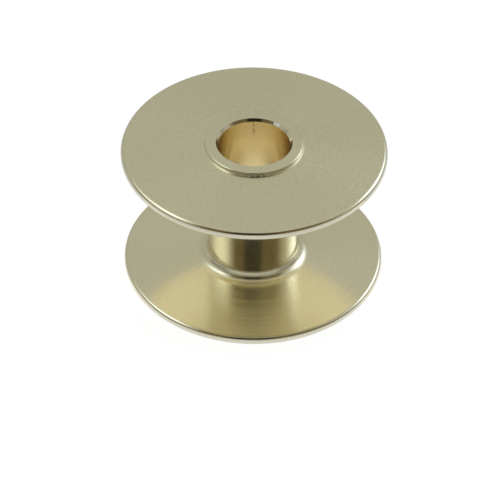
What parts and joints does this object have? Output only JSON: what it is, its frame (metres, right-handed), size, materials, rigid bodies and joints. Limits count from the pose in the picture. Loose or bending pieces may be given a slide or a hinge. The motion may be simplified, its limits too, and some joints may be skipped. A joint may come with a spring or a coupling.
{
  "type": "sewing machine bobbin",
  "caption": "Turned metal bobbin: thin round flanges on a plain core with a straight through bore and a low raised boss on each end; holds the lower thread of a sewing machine.",
  "frame": {"origin": "centre of the lower end face, on the bore's axis, where the bobbin stands", "axes": "+Z along the bore's axis, from the lower flange to the upper flange; X and Y are free, because the bobbin is round"},
  "size_m": [0.0236, 0.0236, 0.014],
  "materials": {
    "turned_metal": "satin turned metal with a pale champagne tone"
  },
  "bodies": {
    "root": {"bobbin": "turned_metal"}
  },
  "joints": []
}
